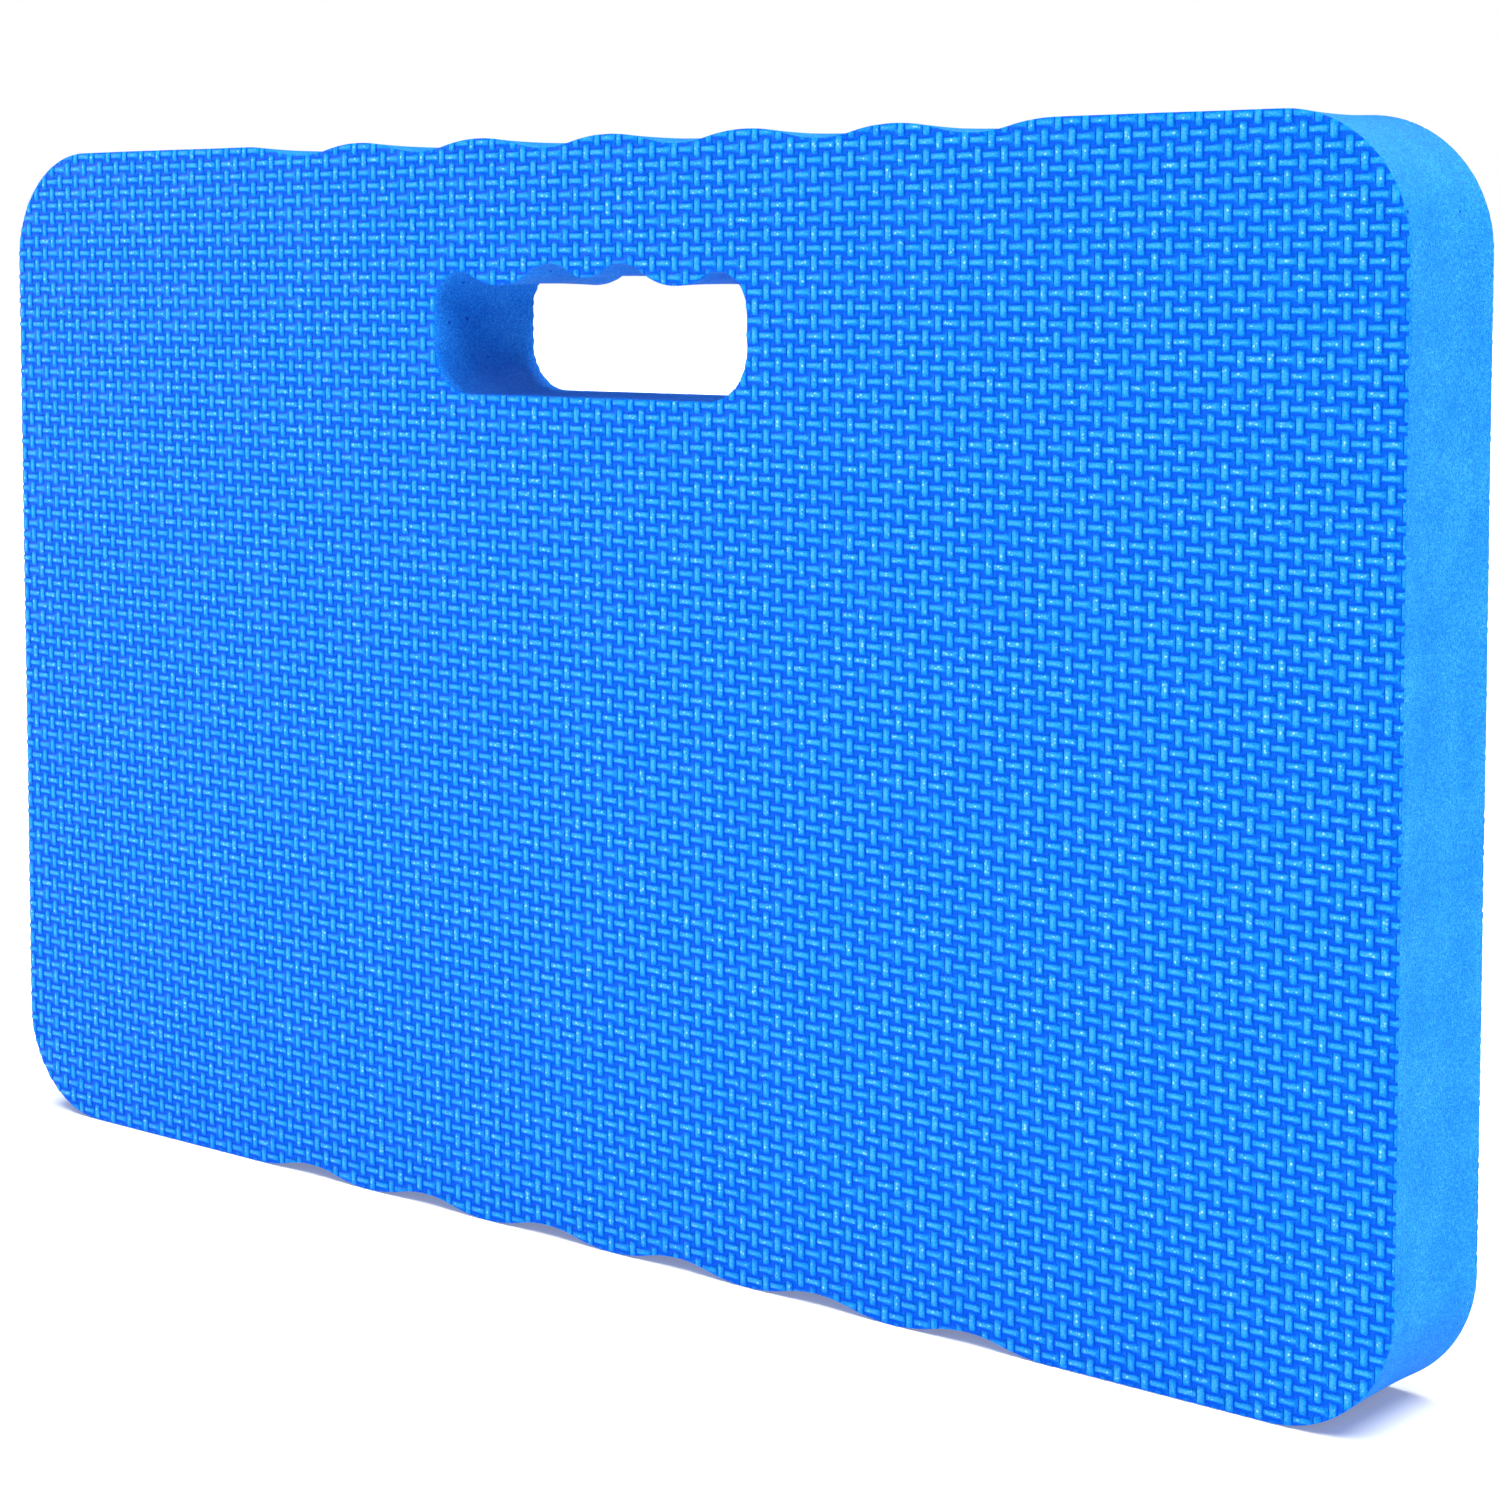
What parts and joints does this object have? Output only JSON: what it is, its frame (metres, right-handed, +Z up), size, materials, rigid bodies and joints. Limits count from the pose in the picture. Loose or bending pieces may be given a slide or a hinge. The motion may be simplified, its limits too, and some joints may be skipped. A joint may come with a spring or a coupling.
{
  "type": "kneeling pad",
  "caption": "Thick rectangular foam kneeling pad with embossed faces, scalloped long edges and a hand hole for carrying.",
  "frame": {"origin": "centre of the base, with the pad standing on its long edge", "axes": "+X along the pad's length, +Y from the front face to the back face, +Z up towards the hand hole"},
  "size_m": [0.45, 0.038, 0.28],
  "materials": {
    "embossed_foam": "satin closed-cell EVA foam, embossed with a fine basket weave",
    "cut_foam": "matte die-cut closed-cell EVA foam with fine open cells"
  },
  "bodies": {
    "root": {"front_textured_skin": "embossed_foam", "foam_core": "cut_foam", "back_textured_skin": "embossed_foam"}
  },
  "joints": []
}
